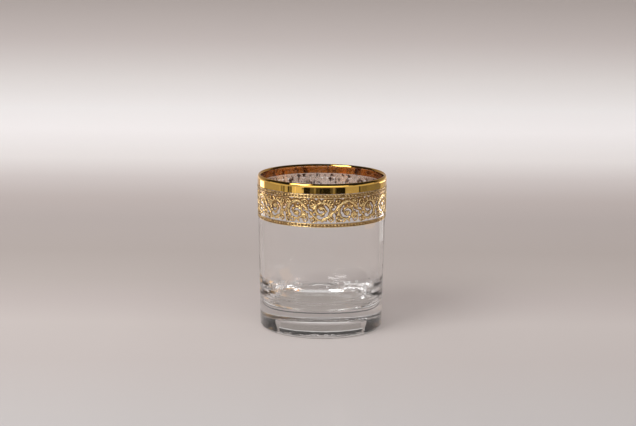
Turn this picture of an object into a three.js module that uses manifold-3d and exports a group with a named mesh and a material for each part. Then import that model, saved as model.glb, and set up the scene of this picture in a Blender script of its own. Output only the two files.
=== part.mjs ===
// A straight-sided rocks tumbler: one piece of clear glass with a heavy base, a polished gold rim,
// and a frieze of gold scrollwork between two gold borders. Millimetres, +Z up. The origin is the
// middle of the foot, on the surface that the glass stands on.
import * as THREE from "three";
import { mergeVertices } from "three/addons/utils/BufferGeometryUtils.js";
import Module from "manifold-3d";

const wasm = await Module();
wasm.setup();

// Glass
const HEIGHT = 90;
const RIM_RADIUS = 37.7;
const WALL_DRAFT = 1.7;
const LIP_WALL = 1.8;
const FLOOR_WALL = 2.4;
const BASE_THICKNESS = 14;
const HEEL_RADIUS = 1.6;
const FLOOR_CORNER_WIDTH = 12.5;
const FLOOR_CORNER_HEIGHT = 18;
const FOOT_RING_WIDTH = 6.5;
const PUNT_DEPTH = 1.2;

// Gold. The gap keeps every gold piece clear of the glass that it is fired on.
const GOLD_GAP = 0.08;
const FILM_THICKNESS = 0.2;
const RIM_BAND_HEIGHT = 5.4;
const RIM_BAND_TURN_IN = 0.5;

// Frieze, from the rim band down
const FRIEZE_GAP = 0.3;
const BORDER_LINE = 0.7;
const BEAD_CHANNEL = 0.9;
const CHANNEL_THICKNESS = 0.15;
const RELIEF_THICKNESS = 0.35;
const FIELD_HEIGHT = 13.8;
const SPRAY_PAIRS = 8;

// Scroll strokes
const STEM_WIDTH = 1.1;
const VOLUTE_WIDTH = 1.3;
const VOLUTE_TIP_WIDTH = 0.7;
const ROSETTE_RADIUS = 1.5;
const LEAF_WIDTH = 2.6;

// Scroll layout, as shares of half the width and half the height of a spray's cell
const STEM_SAG = 0.8;
const VOLUTE_MIDDLE_UP = 0.08;
const VOLUTE_START_RADIUS = 0.84;
const VOLUTE_END_RADIUS = 0.14;
const VOLUTE_START_ANGLE = -0.62 * Math.PI;
const VOLUTE_TURNS = 1.6;

// Fineness
const ROUND_STEPS = 72;
const LIP_STEPS = 6;
const HEEL_STEPS = 3;
const CORNER_STEPS = 8;
const PUNT_STEPS = 4;
const STEM_STEPS = 10;
const VOLUTE_STEPS = 26;
const LEAF_STEPS = 4;
const ROSETTE_STEPS = 8;

const QUARTER_TURN = Math.PI / 2;

const clearGlass = new THREE.MeshStandardMaterial({
  color: 0xeef2f1,
  roughness: 0.02,
  metalness: 0,
  transparent: true,
  opacity: 0.35,
});
const brightGold = new THREE.MeshStandardMaterial({ color: 0xd8a848, roughness: 0.12, metalness: 1 });
const reliefGold = new THREE.MeshStandardMaterial({ color: 0xc79d62, roughness: 0.35, metalness: 1 });

// Radius of the outer wall, which leans in evenly by its draft from rim to foot.
const FOOT_RADIUS = RIM_RADIUS - WALL_DRAFT;

function outerRadius(z) {
  return FOOT_RADIUS + (WALL_DRAFT * z) / HEIGHT;
}

// Radius of the inner wall, which thickens evenly from lip to floor.
function innerRadius(z) {
  const depth = (HEIGHT - z) / (HEIGHT - BASE_THICKNESS);
  return outerRadius(z) - LIP_WALL - (FLOOR_WALL - LIP_WALL) * depth;
}

// Points on an arc about (r, z), both ends included. Angle 0 points outwards and a quarter turn up.
function arc(r, z, radius, from, to, steps) {
  const points = [];
  for (let i = 0; i <= steps; i++) {
    const angle = from + ((to - from) * i) / steps;
    points.push(new THREE.Vector2(r + radius * Math.cos(angle), z + radius * Math.sin(angle)));
  }
  return points;
}

// A profile of (radius, height) points turned round the +Z axis.
function turned(profile) {
  return new THREE.LatheGeometry(profile, ROUND_STEPS).rotateX(QUARTER_TURN);
}

// The lip is a half round on the end of the wall.
const LIP_RADIUS = LIP_WALL / 2;
const LIP_HEIGHT = HEIGHT - LIP_RADIUS;
const LIP_MIDDLE = outerRadius(LIP_HEIGHT) - LIP_RADIUS;

// The corner between the inner wall and the floor: a quarter of an upright ellipse, from the wall down.
function floorCorner() {
  const top = BASE_THICKNESS + FLOOR_CORNER_HEIGHT;
  const middle = innerRadius(top) - FLOOR_CORNER_WIDTH;
  const ellipse = new THREE.EllipseCurve(
    middle, top, FLOOR_CORNER_WIDTH, FLOOR_CORNER_HEIGHT, 0, -QUARTER_TURN, true,
  );
  return ellipse.getPoints(CORNER_STEPS);
}

// The tumbler's section: hollow punt, foot ring, heel, outer wall, lip, inner wall and floor.
function glassProfile() {
  const points = [];
  const heelMiddle = outerRadius(HEEL_RADIUS) - HEEL_RADIUS;
  const puntRadius = heelMiddle - FOOT_RING_WIDTH;
  for (let i = 0; i <= PUNT_STEPS; i++) {
    const share = i / PUNT_STEPS;
    points.push(new THREE.Vector2(puntRadius * share, PUNT_DEPTH * (1 - share * share)));
  }
  points.push(...arc(heelMiddle, HEEL_RADIUS, HEEL_RADIUS, -QUARTER_TURN, 0, HEEL_STEPS));
  points.push(...arc(LIP_MIDDLE, LIP_HEIGHT, LIP_RADIUS, 0, Math.PI, LIP_STEPS));
  points.push(...floorCorner());
  points.push(new THREE.Vector2(0, BASE_THICKNESS));
  return points;
}

// The rim band's section: a film up the outside of the wall, over the lip and a little way in.
function rimBandProfile() {
  const inside = LIP_RADIUS + GOLD_GAP;
  const outside = inside + FILM_THICKNESS;
  const bottom = HEIGHT - RIM_BAND_HEIGHT;
  const insideEnd = innerRadius(LIP_HEIGHT - RIM_BAND_TURN_IN);
  const points = [
    new THREE.Vector2(outerRadius(bottom) + GOLD_GAP, bottom),
    new THREE.Vector2(outerRadius(bottom) + GOLD_GAP + FILM_THICKNESS, bottom),
    ...arc(LIP_MIDDLE, LIP_HEIGHT, outside, 0, Math.PI, LIP_STEPS),
    new THREE.Vector2(insideEnd - GOLD_GAP - FILM_THICKNESS, LIP_HEIGHT - RIM_BAND_TURN_IN),
    new THREE.Vector2(insideEnd - GOLD_GAP, LIP_HEIGHT - RIM_BAND_TURN_IN),
    ...arc(LIP_MIDDLE, LIP_HEIGHT, inside, Math.PI, 0, LIP_STEPS),
  ];
  return [...points, points[0]];
}

// A border's section: two raised lines with a shallow channel for a row of beads between them.
const BORDER_HEIGHT = 2 * BORDER_LINE + BEAD_CHANNEL;

function borderProfile(top) {
  const bottom = top - BORDER_HEIGHT;
  const at = (z, thickness) => new THREE.Vector2(outerRadius(z) + GOLD_GAP + thickness, z);
  const points = [
    at(bottom, 0),
    at(bottom, RELIEF_THICKNESS),
    at(bottom + BORDER_LINE, RELIEF_THICKNESS),
    at(bottom + BORDER_LINE, CHANNEL_THICKNESS),
    at(top - BORDER_LINE, CHANNEL_THICKNESS),
    at(top - BORDER_LINE, RELIEF_THICKNESS),
    at(top, RELIEF_THICKNESS),
    at(top, 0),
  ];
  return [...points, points[0]];
}

// The frieze is laid out downwards: upper border, field of scrolls, lower border.
const UPPER_BORDER_TOP = HEIGHT - RIM_BAND_HEIGHT - FRIEZE_GAP;
const FIELD_TOP = UPPER_BORDER_TOP - BORDER_HEIGHT - FRIEZE_GAP;
const LOWER_BORDER_TOP = FIELD_TOP - FIELD_HEIGHT - FRIEZE_GAP;
const FIELD_MIDDLE = FIELD_TOP - FIELD_HEIGHT / 2;

// One spray of scrollwork fills a cell of the field. Half the cell's sides carry its layout.
const SPRAY_COUNT = 2 * SPRAY_PAIRS;
const CELL_PITCH = (2 * Math.PI * outerRadius(FIELD_MIDDLE)) / SPRAY_COUNT;
const HALF_WIDE = (CELL_PITCH - FRIEZE_GAP) / 2;
const HALF_HIGH = FIELD_HEIGHT / 2;

// The stem sags across the cell in half a cosine wave, from edge to edge.
function stemPoint(share) {
  const across = 2 * share - 1;
  const sag = STEM_SAG * Math.cos(QUARTER_TURN * across);
  return new THREE.Vector2(HALF_WIDE * across, -HALF_HIGH * sag);
}

// The volute leaves the stem and winds in evenly to the rosette.
function volutePoint(share) {
  const angle = VOLUTE_START_ANGLE + 2 * Math.PI * VOLUTE_TURNS * share;
  const radius = VOLUTE_START_RADIUS + (VOLUTE_END_RADIUS - VOLUTE_START_RADIUS) * share;
  const across = radius * Math.cos(angle);
  const up = VOLUTE_MIDDLE_UP + radius * Math.sin(angle);
  return new THREE.Vector2(HALF_WIDE * across, HALF_HIGH * up);
}

// The outline of a stroke of the given widths along a path: out along one side and back by the other.
function strokeOutline(path, steps, startWidth, endWidth) {
  const near = [];
  const far = [];
  const sample = 1 / (4 * steps);
  for (let i = 0; i <= steps; i++) {
    const share = i / steps;
    const before = path(Math.max(0, share - sample));
    const after = path(Math.min(1, share + sample));
    const along = after.clone().sub(before).normalize();
    const half = (startWidth + (endWidth - startWidth) * share) / 2;
    const across = new THREE.Vector2(-along.y, along.x).multiplyScalar(half);
    const middle = path(share);
    near.push(middle.clone().sub(across));
    far.push(middle.clone().add(across));
  }
  return [...near, ...far.reverse()];
}

// The outline of a leaf from its root to its tip: two bowed sides that meet in points.
function leafOutline(leaf) {
  const root = leaf.stroke(leaf.at);
  const tip = new THREE.Vector2(HALF_WIDE * leaf.tip[0], HALF_HIGH * leaf.tip[1]);
  const along = tip.clone().sub(root);
  const bow = new THREE.Vector2(-along.y, along.x).setLength(LEAF_WIDTH);
  const middle = root.clone().lerp(tip, 0.5);
  const shape = new THREE.Shape();
  shape.moveTo(root.x, root.y);
  shape.quadraticCurveTo(middle.x - bow.x, middle.y - bow.y, tip.x, tip.y);
  shape.quadraticCurveTo(middle.x + bow.x, middle.y + bow.y, root.x, root.y);
  return shape.getPoints(LEAF_STEPS).slice(0, -1);
}

function rosetteOutline() {
  const middle = volutePoint(1);
  return arc(middle.x, middle.y, ROSETTE_RADIUS, 0, 2 * Math.PI, ROSETTE_STEPS).slice(0, -1);
}

// Leaves grow from a stroke, at a share of its length, into the corners of the cell. A tip is given as
// shares of the cell's half sides.
const LEAVES = [
  { stroke: volutePoint, at: 0.43, tip: [-0.95, 0.93] },
  { stroke: volutePoint, at: 0.27, tip: [0.95, 0.93] },
  { stroke: stemPoint, at: 0.2, tip: [-0.93, -0.95] },
  { stroke: stemPoint, at: 0.8, tip: [0.93, -0.95] },
];

// A flat plate of gold relief with the given outline, as a solid for joining.
function plate(outline) {
  const options = { depth: RELIEF_THICKNESS, bevelEnabled: false };
  const geometry = new THREE.ExtrudeGeometry(new THREE.Shape(outline), options);
  geometry.deleteAttribute("normal");
  geometry.deleteAttribute("uv");
  const merged = mergeVertices(geometry);
  return new wasm.Manifold(
    new wasm.Mesh({
      numProp: 3,
      vertProperties: merged.attributes.position.array,
      triVerts: new Uint32Array(merged.index.array),
    }),
  );
}

// The flat spray: stem, volute, rosette and leaves joined in one plate.
function flatSpray() {
  const outlines = [
    strokeOutline(stemPoint, STEM_STEPS, STEM_WIDTH, STEM_WIDTH),
    strokeOutline(volutePoint, VOLUTE_STEPS, VOLUTE_WIDTH, VOLUTE_TIP_WIDTH),
    rosetteOutline(),
    ...LEAVES.map(leafOutline),
  ];
  return outlines.map(plate).reduce((joined, piece) => joined.add(piece));
}

const spray = flatSpray().getMesh();

// The spray laid round the wall: its x goes round, its y goes up and its z stands out from the glass.
// Every other spray is turned upside down by half a turn in its cell.
function wrappedSpray(index) {
  const turn = index % 2 === 0 ? 1 : -1;
  const cellAngle = (2 * Math.PI * index) / SPRAY_COUNT;
  const flat = spray.vertProperties;
  const wrapped = new Float32Array(flat.length);
  for (let i = 0; i < flat.length; i += 3) {
    const height = FIELD_MIDDLE + turn * flat[i + 1];
    const angle = cellAngle + (turn * flat[i]) / outerRadius(FIELD_MIDDLE);
    const radius = outerRadius(height) + GOLD_GAP + flat[i + 2];
    wrapped.set([radius * Math.sin(angle), -radius * Math.cos(angle), height], i);
  }
  const geometry = new THREE.BufferGeometry();
  geometry.setAttribute("position", new THREE.BufferAttribute(wrapped, 3));
  geometry.setIndex(new THREE.BufferAttribute(new Uint32Array(spray.triVerts), 1));
  geometry.computeVertexNormals();
  return geometry;
}

function named(name, geometry, material) {
  const mesh = new THREE.Mesh(geometry, material);
  mesh.name = name;
  return mesh;
}

const tumbler = new THREE.Group();
tumbler.name = "gilt_tumbler";
tumbler.add(named("glass_tumbler", turned(glassProfile()), clearGlass));
tumbler.add(named("gold_rim_band", turned(rimBandProfile()), brightGold));

const frieze = new THREE.Group();
frieze.name = "gold_frieze";
frieze.add(named("frieze_upper_border", turned(borderProfile(UPPER_BORDER_TOP)), reliefGold));
frieze.add(named("frieze_lower_border", turned(borderProfile(LOWER_BORDER_TOP)), reliefGold));
for (let index = 0; index < SPRAY_COUNT; index++) {
  const number = String(index + 1).padStart(2, "0");
  frieze.add(named(`scroll_spray_${number}`, wrappedSpray(index), reliefGold));
}
tumbler.add(frieze);

export default tumbler;
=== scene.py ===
"""Looks of a gilt rocks tumbler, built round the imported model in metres, +Z up.

The glass, the gold rim, the two borders and the sixteen scroll sprays are surfaces worked out with
numpy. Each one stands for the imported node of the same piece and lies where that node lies. The studio
round them is no part of the tumbler.
"""

from __future__ import annotations

import logging
import math
from dataclasses import dataclass
from enum import Enum

import bpy
import numpy as np
from mathutils import Matrix, Vector

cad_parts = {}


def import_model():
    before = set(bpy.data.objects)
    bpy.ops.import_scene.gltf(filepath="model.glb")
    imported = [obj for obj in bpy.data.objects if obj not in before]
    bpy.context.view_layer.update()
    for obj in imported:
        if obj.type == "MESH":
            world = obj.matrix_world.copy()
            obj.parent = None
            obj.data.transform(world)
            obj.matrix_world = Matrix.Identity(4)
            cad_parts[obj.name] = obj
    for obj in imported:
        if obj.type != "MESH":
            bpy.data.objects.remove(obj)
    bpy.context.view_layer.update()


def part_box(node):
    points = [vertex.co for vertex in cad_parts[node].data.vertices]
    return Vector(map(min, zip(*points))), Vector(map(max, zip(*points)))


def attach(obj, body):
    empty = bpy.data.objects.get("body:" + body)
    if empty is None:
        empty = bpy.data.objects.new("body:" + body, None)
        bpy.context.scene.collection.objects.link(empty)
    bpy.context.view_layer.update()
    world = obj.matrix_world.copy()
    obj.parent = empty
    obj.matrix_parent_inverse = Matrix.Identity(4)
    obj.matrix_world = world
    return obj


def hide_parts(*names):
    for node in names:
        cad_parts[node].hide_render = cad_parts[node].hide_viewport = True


LOG = logging.getLogger("tumbler")
MM = 0.001
COLUMNS = 256
SHARP_ANGLE = math.radians(48)
NO_TRIS = np.empty((0, 3), int)
Span = tuple[float, float]
Point = tuple[float, float, float]
Colour = tuple[float, float, float]
Wave = tuple[float, float, float]
Socket = bpy.types.NodeSocket
Material = bpy.types.Material
Object = bpy.types.Object


class Gold:
    """Sizes and section shapes shared by all the gold."""

    SEAT_DEPTH = 0.02 * MM
    FILM = 0.16 * MM
    GROUND = 0.05 * MM
    GROUND_CREST = 0.36
    RELIEF = 0.36 * MM
    BULGE_POWER = 0.6
    GROOVE_WIDTH = 0.3
    EDGE_LIFT = 0.2
    WINDOW_SLIDE = 0.45
    LEAST_SLOPE = 0.05


# Curves


def full_turn(count: int) -> np.ndarray:
    """Angles at even steps all the way round, from 0."""
    return 2 * np.pi * np.arange(count) / count


def bell(value: np.ndarray, middle: float, spread: float) -> np.ndarray:
    """A bell curve: exp(-((value - middle) / spread)^2)."""
    return np.exp(-(((value - middle) / spread) ** 2))


def waves(angle: np.ndarray, terms: tuple[Wave, ...]) -> np.ndarray:
    """A sum of sines of an angle, each of a share, the times that it comes round and a phase."""
    return sum(share * np.sin(count * angle + phase) for share, count, phase in terms)


def ellipse(wide: np.ndarray | float, high: np.ndarray | float, angle: np.ndarray) -> np.ndarray:
    """Flat points at angles a round an ellipse: (half width times cos a, half height times sin a)."""
    return np.stack([wide * np.cos(angle), high * np.sin(angle)], axis=-1)


def round_axis(radius: np.ndarray, angle: np.ndarray, height: np.ndarray | float) -> np.ndarray:
    """Points round the axis: one of radius r at angle a lies at (r sin a, -r cos a, height)."""
    return np.stack(np.broadcast_arrays(radius * np.sin(angle), -radius * np.cos(angle), height), axis=-1)


def directions(path: np.ndarray) -> np.ndarray:
    """The unit direction of a flat path at each of its points."""
    along = np.gradient(path, axis=0)
    return along / np.linalg.norm(along, axis=1, keepdims=True)


def arc(middle: Span, radii: Span, start: float, stop: float, count: int) -> np.ndarray:
    """Profile points on an upright ellipse between two angles in degrees, 0 outwards and 90 up."""
    return np.array(middle) + ellipse(*radii, np.radians(np.linspace(start, stop, count)))


def line(start: Span, stop: Span, count: int) -> np.ndarray:
    """Points on a straight stretch of a profile, without its two ends."""
    return np.linspace(start, stop, count + 2)[1:-1]


def spiral(middle: np.ndarray, radii: Span, stretch: Span, start: float, turns: float,
           count: int) -> np.ndarray:
    """A flat spiral whose radius falls evenly with its angle.

    Args:
        middle: The flat point that it winds round.
        radii: Its first and last radius.
        stretch: The scale of its radius across and up.
        start: Its first angle in radians.
        turns: How many times it winds, below 0 for clockwise.
        count: The number of points.

    Returns:
        The spiral's path, two numbers a row.
    """
    share = np.linspace(0, 1, count)
    radius = radii[0] + (radii[1] - radii[0]) * share
    return middle + ellipse(stretch[0] * radius, stretch[1] * radius, start + 2 * np.pi * turns * share)


def nearest(places: np.ndarray, taken: np.ndarray) -> np.ndarray:
    """The distance from each flat place to the nearest of the taken points."""
    squares = (places**2).sum(axis=1)[:, None] + (taken**2).sum(axis=1) - 2 * places @ taken.T
    return np.sqrt(np.maximum(squares.min(axis=1), 0))


# Surfaces


@dataclass
class Surface:
    """Closed shells as arrays of points and faces.

    Attributes:
        points: One row of three coordinates for each point.
        quads: Point numbers of the four-sided faces.
        tris: Point numbers of the three-sided faces.
        crest: For each point, 0 on the seat against the glass, rising to 1 on the highest line.
    """

    points: np.ndarray
    quads: np.ndarray
    tris: np.ndarray
    crest: np.ndarray

    @staticmethod
    def joined(parts: list[Surface]) -> Surface:
        """Puts shells side by side in one surface, with their point numbers moved along.

        Args:
            parts: The shells.

        Returns:
            One surface with all of them.
        """
        starts = np.cumsum([0] + [len(part.points) for part in parts])
        return Surface(
            np.concatenate([part.points for part in parts]),
            np.concatenate([part.quads + start for part, start in zip(parts, starts)]),
            np.concatenate([part.tris + start for part, start in zip(parts, starts)]),
            np.concatenate([part.crest for part in parts]),
        )

    def stamped(self, middles: np.ndarray) -> Surface:
        """Copies a flat relief to many places.

        Args:
            middles: The flat place of each copy, two numbers a row.

        Returns:
            One surface with all the copies.
        """
        count, size = len(middles), len(self.points)
        points = np.tile(self.points, (count, 1, 1))
        points[..., :2] += middles[:, None]
        starts = (np.arange(count) * size)[:, None, None]
        return Surface(
            points.reshape(-1, 3),
            (self.quads + starts).reshape(-1, 4),
            (self.tris + starts).reshape(-1, 3),
            np.tile(self.crest, count),
        )

    def moved(self, points: np.ndarray) -> Surface:
        """The same faces on new points."""
        return Surface(points, self.quads, self.tris, self.crest)

    def under(self) -> np.ndarray:
        """One flag for each face, quads first: whether the whole face lies on the seat."""
        flat = self.crest <= 0
        return np.concatenate([flat[self.quads].all(axis=1), flat[self.tris].all(axis=1)])


def grid_quads(rows: int, columns: int, close_rows: bool, close_columns: bool = True) -> np.ndarray:
    """Faces of a grid.

    Args:
        rows: The number of rows.
        columns: The number of points in each row.
        close_rows: Whether the last row joins the first.
        close_columns: Whether each row closes on itself, as a ring.

    Returns:
        Point numbers, four a row, in the order that faces along the rows crossed with the columns.
    """
    row = np.arange(rows if close_rows else rows - 1)[:, None]
    column = np.arange(columns if close_columns else columns - 1)[None, :]
    next_row, next_column = (row + 1) % rows, (column + 1) % columns
    corners = (
        row * columns + column,
        next_row * columns + column,
        next_row * columns + next_column,
        row * columns + next_column,
    )
    return np.stack(corners, axis=-1).reshape(-1, 4)


def poled_shell(rings: np.ndarray, first: np.ndarray, last: np.ndarray, crest: np.ndarray) -> Surface:
    """A shell of rings that closes in one point at each end.

    Args:
        rings: Points as rings by columns by coordinates.
        first: The point that closes the first ring.
        last: The point that closes the last ring.
        crest: The crest of every ring point, rings by columns. Both end points take 0.

    Returns:
        The closed shell.
    """
    rows, columns = rings.shape[:2]
    points = np.concatenate([rings.reshape(-1, 3), first[None], last[None]])
    here = np.arange(columns)
    after = (here + 1) % columns
    end = (rows - 1) * columns
    first_number, last_number = rows * columns, rows * columns + 1
    fans = [
        np.stack([np.full(columns, first_number), here, after], axis=-1),
        np.stack([np.full(columns, last_number), end + after, end + here], axis=-1),
    ]
    values = np.concatenate([crest.reshape(-1), [0.0, 0.0]])
    return Surface(points, grid_quads(rows, columns, False), np.concatenate(fans), values)


def turned(profile: np.ndarray) -> np.ndarray:
    """A profile of radius and height carried round the axis, clockwise so that a climbing one faces out."""
    return round_axis(profile[:, :1], -full_turn(COLUMNS), profile[:, 1:])


def hoop(profile: np.ndarray, crest: np.ndarray) -> Surface:
    """A closed profile turned round the axis, with one crest for each of its points."""
    quads = grid_quads(len(profile), COLUMNS, True)
    return Surface(turned(profile).reshape(-1, 3), quads, NO_TRIS, np.repeat(crest, COLUMNS))


def stroke(path: np.ndarray, half_width: np.ndarray, height: np.ndarray | float, groove: float,
           columns: int = 9) -> Surface:
    """A raised stroke: a domed section carried along a flat path.

    At a share a of the half width across, the lift is the height times (1 - a^2) to the bulge power,
    less a groove along the middle that is a bell curve. The edges stand a little off the seat, and the
    section closes along the seat. Both ends close in a point.

    Args:
        path: The flat middle line, two numbers a row.
        half_width: Half the stroke's width at each path point.
        height: The stroke's height at each path point, or all along.
        groove: The groove's share of the height.
        columns: The number of points across the raised face.

    Returns:
        The closed stroke, in flat coordinates: along, up and out.
    """
    along = directions(path)
    left = np.stack([-along[:, 1], along[:, 0]], axis=-1)
    top = np.linspace(-1, 1, columns)
    bulge = np.maximum(1 - top**2, 0) ** Gold.BULGE_POWER * (1 - groove * bell(top, 0.0, Gold.GROOVE_WIDTH))
    across = np.concatenate([top, [1.0, -1.0]])
    lift = np.concatenate([np.maximum(bulge, Gold.EDGE_LIFT), [0.0, 0.0]])
    heights = np.broadcast_to(height, len(path))[:, None]
    rings = np.empty((len(path), len(across), 3))
    rings[..., :2] = path[:, None] + left[:, None] * (half_width[:, None] * across)[..., None]
    rings[..., 2] = np.where(lift > 0, heights * lift, -Gold.SEAT_DEPTH)
    crest = np.broadcast_to(lift, rings.shape[:2])
    ends = np.concatenate([path[[0, -1]], np.full((2, 1), -Gold.SEAT_DEPTH)], axis=1)
    return poled_shell(rings, ends[0], ends[1], crest)


def dome(outline: np.ndarray, rings: tuple[Span, ...]) -> Surface:
    """A raised boss: rings that shrink towards the middle of a flat outline as they rise.

    Args:
        outline: The boss's edge, two numbers a row, anticlockwise.
        rings: For each ring from the top down, its share of the outline and its share of the relief's
            height. The first height is also that of the top.

    Returns:
        The closed boss, in flat coordinates.
    """
    shares, lifts = np.array(rings).T
    lifts = Gold.RELIEF * lifts
    points = np.empty((len(rings) + 1, len(outline), 3))
    points[..., :2] = np.append(shares, 1.0)[:, None, None] * outline
    points[..., 2] = np.append(lifts, -Gold.SEAT_DEPTH)[:, None]
    crest = np.broadcast_to(np.append(lifts / lifts.max(), 0.0)[:, None], points.shape[:2])
    shell = poled_shell(points, np.array([0, 0, lifts[0]]), np.array([0, 0, -Gold.SEAT_DEPTH]), crest)
    shell.crest[-2] = 1.0
    return shell


def pierced_film(places: np.ndarray, room: np.ndarray, lift: float, crest: np.ndarray) -> Surface:
    """A thin film on a flat grid, with windows where the room round a point falls below 0.

    A grid square is kept where the mean room of its corners is above 0. The points along a window
    move down the slope of the room, by less than half a square, on to the line of no room. Every kept
    square has a face above and one on the seat, and a wall stands along each open side.

    Args:
        places: Flat places, rows up by columns across by two numbers.
        room: For each place, its distance from the nearest window, below 0 inside it.
        lift: The film's height over the glass.
        crest: The crest of the film's face at each place.

    Returns:
        The closed film, in flat coordinates.
    """
    rows, columns = room.shape
    count = rows * columns
    kept = (room[:-1, :-1] + room[1:, :-1] + room[1:, 1:] + room[:-1, 1:]) > 0
    around = np.pad(kept, 1)
    squares = around[:-1, :-1].astype(int) + around[1:, :-1] + around[1:, 1:] + around[:-1, 1:]
    on_window = (squares > 0) & (squares < 4)
    on_window[[0, -1]] = on_window[:, [0, -1]] = False
    step = np.linalg.norm(places[0, 1] - places[0, 0])
    slope = np.stack(np.gradient(room, step)[::-1], axis=-1)
    steep = np.maximum((slope**2).sum(axis=-1), Gold.LEAST_SLOPE)
    slide = Gold.WINDOW_SLIDE * step
    shift = -slope * np.clip(room / steep, -slide, slide)[..., None]
    flat = places + np.where(on_window[..., None], shift, 0.0)
    number = np.arange(count).reshape(rows, columns)
    corners = (number[:-1, :-1], number[:-1, 1:], number[1:, 1:], number[1:, :-1])
    top = np.stack([corner[kept] for corner in corners], axis=-1)
    sides = []
    for side, away in enumerate(((0, 1), (1, 2), (2, 1), (1, 0))):
        beyond = around[away[0]:away[0] + rows - 1, away[1]:away[1] + columns - 1]
        open_side = kept & ~beyond
        start, end = corners[side][open_side], corners[(side + 1) % 4][open_side]
        sides.append(np.stack([end, start, start + count, end + count], axis=-1))
    quads = np.concatenate([top, top[:, ::-1] + count, *sides])
    heights = np.repeat([lift, -Gold.SEAT_DEPTH], count)
    points = np.column_stack([np.tile(flat.reshape(-1, 2), (2, 1)), heights])
    used, compact = np.unique(quads, return_inverse=True)
    values = np.concatenate([crest.reshape(-1), np.zeros(count)])
    return Surface(points[used], compact.reshape(quads.shape), NO_TRIS, values[used])


# Objects


def add_object(name: str, points: np.ndarray, faces: list[list[int]], materials: list[Material]) -> Object:
    """Makes points and faces a smooth object at the origin.

    Args:
        name: The object's name.
        points: Its points, with three coordinates along the last axis.
        faces: The point numbers of each face.
        materials: Its materials. Every face has the first one.

    Returns:
        The linked object.
    """
    mesh = bpy.data.meshes.new(name)
    mesh.from_pydata(points.reshape(-1, 3).tolist(), [], faces)
    for material in materials:
        mesh.materials.append(material)
    mesh.polygons.foreach_set("use_smooth", np.ones(len(mesh.polygons), bool))
    made = bpy.data.objects.new(name, mesh)
    bpy.context.scene.collection.objects.link(made)
    return made


def add_piece(name: str, surface: Surface, materials: list[Material], node: str) -> Object:
    """Makes a surface a piece of the tumbler, smooth but for its sharp edges.

    It rides on the body and takes the place of its node.

    Args:
        name: The piece's name.
        surface: Its closed shells.
        materials: Its finish, and where there is a second one, the finish of the faces on the seat.
        node: The node that it stands for.

    Returns:
        The piece, with each point's crest as an attribute.
    """
    piece = add_object(name, surface.points, surface.quads.tolist() + surface.tris.tolist(), materials)
    mesh = piece.data
    if len(materials) > 1:
        mesh.polygons.foreach_set("material_index", surface.under().astype(np.int32))
    crest = mesh.attributes.new("crest", "FLOAT", "POINT")
    crest.data.foreach_set("value", surface.crest.astype(np.float32))
    mesh.set_sharp_from_angle(angle=SHARP_ANGLE)
    mesh.update()
    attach(piece, "root")
    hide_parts(node)
    LOG.info("%s: %d faces, in the place of %s", piece.name, len(mesh.polygons), node)
    return piece


def add_stage(name: str, points: np.ndarray, material: Material) -> Object:
    """Makes an open grid of points an object of the studio.

    Args:
        name: The object's name.
        points: Its points, rows by columns by coordinates.
        material: Its finish.

    Returns:
        The linked object.
    """
    faces = grid_quads(*points.shape[:2], close_rows=False, close_columns=False)
    made = add_object(name, points, faces.tolist(), [material])
    return made


# Finishes


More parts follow.
